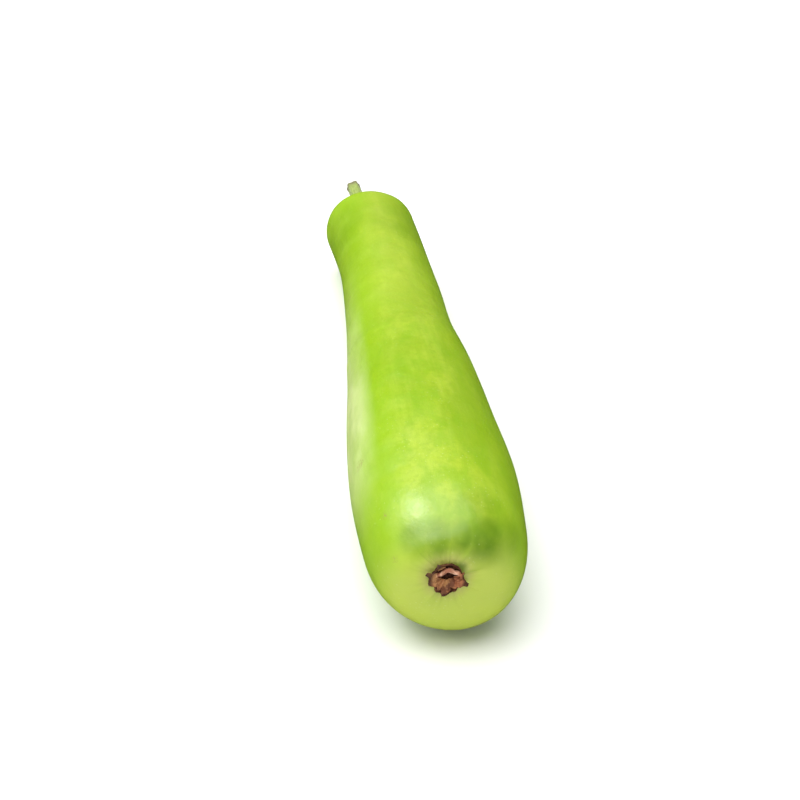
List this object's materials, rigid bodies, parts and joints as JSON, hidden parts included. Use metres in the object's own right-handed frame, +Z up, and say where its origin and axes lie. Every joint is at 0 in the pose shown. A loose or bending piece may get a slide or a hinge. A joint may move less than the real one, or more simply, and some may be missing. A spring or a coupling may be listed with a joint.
{
  "type": "bottle gourd",
  "caption": "Long, club-shaped bottle gourd lying on its side, with a blunt belly end, a slim neck, a ridged cut stem and a dried, torn flower scar.",
  "frame": {"origin": "on the surface the gourd lies on, under the middle of its bounding box", "axes": "+Y along the gourd from the blossom end to the stem, +Z up, +X to the right as seen from the blossom end"},
  "size_m": [0.0862, 0.4738, 0.0853],
  "materials": {
    "skin": "satin waxy green skin",
    "stalk": "matt ridged green stalk",
    "dry_flower": "dry, crinkled and brown"
  },
  "bodies": {
    "root": {"fruit": "skin", "stem": "stalk", "blossom_remnant": "dry_flower"}
  },
  "joints": []
}
